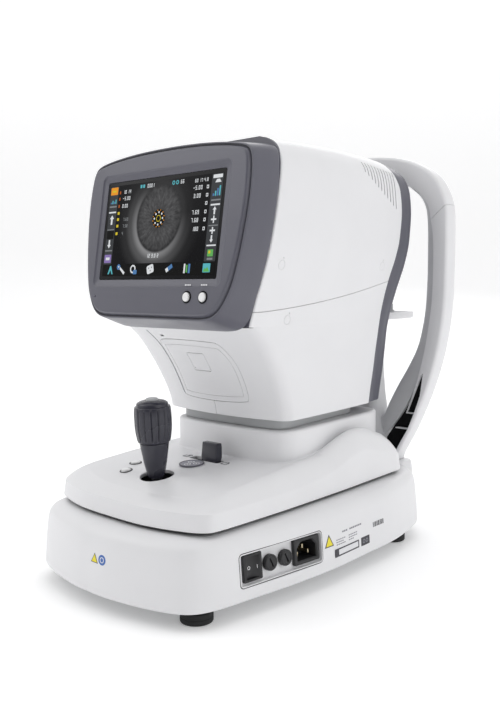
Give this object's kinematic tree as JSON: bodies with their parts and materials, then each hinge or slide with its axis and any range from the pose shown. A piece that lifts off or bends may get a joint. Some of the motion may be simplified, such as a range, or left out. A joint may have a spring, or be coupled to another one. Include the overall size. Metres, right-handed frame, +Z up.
{
  "type": "autorefractor",
  "caption": "Table-top eye refraction meter: tilted touch display and measuring head on a joystick-driven cross slide, facing a chin-rest arch on the same base.",
  "frame": {"origin": "on the table top, under the middle of the footprint", "axes": "+Z up, +Y from the operator towards the patient, +X to the operator's right (the side with the mains inlet)"},
  "size_m": [0.24, 0.429, 0.412],
  "materials": {
    "white_shell": "satin moulded, neutral white",
    "white_button": "satin",
    "grey_cover": "satin moulded, light grey",
    "slate_plastic": "satin, slate grey paint",
    "dark_plastic": "satin moulded",
    "black_plastic": "moulded, fine grain",
    "rubber_feet": "matt",
    "silicone_pad": "soft silicone",
    "steel_parts": "machined or plated",
    "alloy_frame": "cast and machined",
    "lens_barrel": "black anodised",
    "dark_glass": "coated",
    "circuit_board": "solder mask",
    "paper": "thermal paper",
    "badge": "printed disc"
  },
  "bodies": {
    "base": {"base_shell": "white_shell", "base_plate": "steel_parts", "foot_front_left": "rubber_feet", "foot_front_right": "rubber_feet", "foot_rear_left": "rubber_feet", "foot_rear_right": "rubber_feet", "power_panel": "white_shell", "rocker_switch_body": "black_plastic", "power_inlet": "black_plastic", "power_supply": "steel_parts", "rack_left": "steel_parts", "rack_right": "steel_parts", "glide_plate": "grey_cover", "arch_bow": "white_shell", "arch_leg_left": "white_shell", "arch_leg_right": "white_shell", "arch_inner_cover": "grey_cover", "forehead_pad": "silicone_pad"},
    "rocker": {"rocker_switch": "black_plastic"},
    "fuse_front": {"fuse_cap_front": "black_plastic"},
    "fuse_rear": {"fuse_cap_rear": "black_plastic"},
    "chin_rest": {"chin_post": "steel_parts", "chin_cup": "white_shell", "chin_pin_left": "dark_plastic", "chin_pin_right": "dark_plastic"},
    "carriage": {"cross_carriage": "alloy_frame"},
    "wheels": {"cross_shaft": "steel_parts", "drive_wheel_left": "steel_parts", "drive_wheel_right": "steel_parts"},
    "stage": {"stage_shell": "white_shell", "stage_floor": "steel_parts", "lift_skirt": "grey_cover", "guide_column_left": "steel_parts", "guide_column_right": "steel_parts", "lift_motor": "dark_plastic", "stage_badge": "badge"},
    "screw": {"lift_screw": "steel_parts"},
    "lock": {"lock_lever": "dark_plastic"},
    "stage_key_front": {"stage_button_front": "white_button"},
    "stage_key_rear": {"stage_button_rear": "white_button"},
    "stick_gimbal": {"joystick_gimbal": "steel_parts"},
    "stick": {"joystick_stem": "dark_plastic"},
    "stick_grip": {"joystick_grip": "dark_plastic"},
    "stick_key": {"joystick_button": "dark_plastic"},
    "head": {"head_upper_shell": "white_shell", "head_lower_shell": "white_shell", "rear_cover": "slate_plastic", "window_glass": "dark_glass", "optical_tube": "lens_barrel", "main_board": "circuit_board", "head_chassis": "alloy_frame", "printer_body": "dark_plastic", "bezel": "slate_plastic", "screen_glass": "dark_glass", "display_module": "steel_parts"},
    "door": {"printer_door": "white_shell"},
    "door_latch": {"printer_latch": "white_shell"},
    "roll": {"paper_roll": "paper"},
    "bezel_key_left": {"bezel_button_left": "white_button"},
    "bezel_key_right": {"bezel_button_right": "white_button"}
  },
  "joints": [
    {"name": "rocker_press", "type": "hinge", "parent": "base", "child": "rocker", "pos_m": [0.11045, -0.12783, 0.04006], "axis": [-0.084, 0.0053, 0.9964], "range_deg": [0, 20]},
    {"name": "fuse_front_turn", "type": "hinge", "parent": "base", "child": "fuse_front", "pos_m": [0.11426, -0.10853, 0.04028], "axis": [0.9945, -0.0625, 0.0842], "range_deg": [0, 90]},
    {"name": "fuse_rear_turn", "type": "hinge", "parent": "base", "child": "fuse_rear", "pos_m": [0.11539, -0.09057, 0.04028], "axis": [0.9945, -0.0625, 0.0842], "range_deg": [0, 90]},
    {"name": "chin_rest_lift", "type": "slide", "parent": "base", "child": "chin_rest", "axis": [0, 0, 1], "range_m": [-0.021, 0.041]},
    {"name": "fore_aft", "type": "slide", "parent": "base", "child": "carriage", "axis": [0, 1, 0], "range_m": [-0.028, 0.012]},
    {"name": "drive_wheel_spin", "type": "hinge", "parent": "carriage", "child": "wheels", "pos_m": [0, -0.0085, 0.0842], "axis": [1, 0, 0], "continuous": true},
    {"name": "side_to_side", "type": "slide", "parent": "carriage", "child": "stage", "axis": [1, 0, 0], "range_m": [-0.038, 0.038]},
    {"name": "head_lift", "type": "slide", "parent": "stage", "child": "head", "axis": [0, 0, 1], "range_m": [-0.006, 0.024]},
    {"name": "lift_screw_spin", "type": "hinge", "parent": "stage", "child": "screw", "pos_m": [0, 0.0565, 0.163], "axis": [0, 0, 1], "continuous": true},
    {"name": "lock_slide", "type": "slide", "parent": "stage", "child": "lock", "axis": [1, 0, 0], "range_m": [-0.014, 0]},
    {"name": "stage_button_front_press", "type": "slide", "parent": "stage", "child": "stage_key_front", "axis": [0, 0, -1], "range_m": [0, 0.0015]},
    {"name": "stage_button_rear_press", "type": "slide", "parent": "stage", "child": "stage_key_rear", "axis": [0, 0, -1], "range_m": [0, 0.0015]},
    {"name": "joystick_fore_aft_tilt", "type": "hinge", "parent": "stage", "child": "stick_gimbal", "pos_m": [0, -0.1365, 0.087], "axis": [1, 0, 0], "range_deg": [-11, 11]},
    {"name": "joystick_side_tilt", "type": "hinge", "parent": "stick_gimbal", "child": "stick", "pos_m": [0, -0.1365, 0.087], "axis": [0, 1, 0], "range_deg": [-11, 11]},
    {"name": "joystick_twist", "type": "hinge", "parent": "stick", "child": "stick_grip", "pos_m": [0, -0.1365, 0.087], "axis": [0, -0.0489, 0.9988], "range_deg": [-60, 225]},
    {"name": "joystick_button_press", "type": "slide", "parent": "stick", "child": "stick_key", "axis": [0, 0.0489, -0.9988], "range_m": [0, 0.002]},
    {"name": "printer_door_hinge", "type": "hinge", "parent": "head", "child": "door", "pos_m": [0, -0.0635, 0.168], "axis": [1, 0, 0], "range_deg": [0, 52]},
    {"name": "printer_latch_press", "type": "slide", "parent": "door", "child": "door_latch", "axis": [0, 1, 0], "range_m": [0, 0.0015]},
    {"name": "paper_roll_spin", "type": "hinge", "parent": "head", "child": "roll", "pos_m": [0, -0.0405, 0.212], "axis": [1, 0, 0], "continuous": true},
    {"name": "bezel_button_left_press", "type": "slide", "parent": "head", "child": "bezel_key_left", "axis": [0, 0.9871, -0.1599], "range_m": [0, 0.0012]},
    {"name": "bezel_button_right_press", "type": "slide", "parent": "head", "child": "bezel_key_right", "axis": [0, 0.9871, -0.1599], "range_m": [0, 0.0012]}
  ],
  "couplings": [
    {"joint": "drive_wheel_spin", "follows": "fore_aft", "rad_per_m": -111.11},
    {"joint": "lift_screw_spin", "follows": "head_lift", "rad_per_m": 785.4},
    {"joint": "joystick_twist", "follows": "head_lift", "rad_per_m": 157.08}
  ]
}
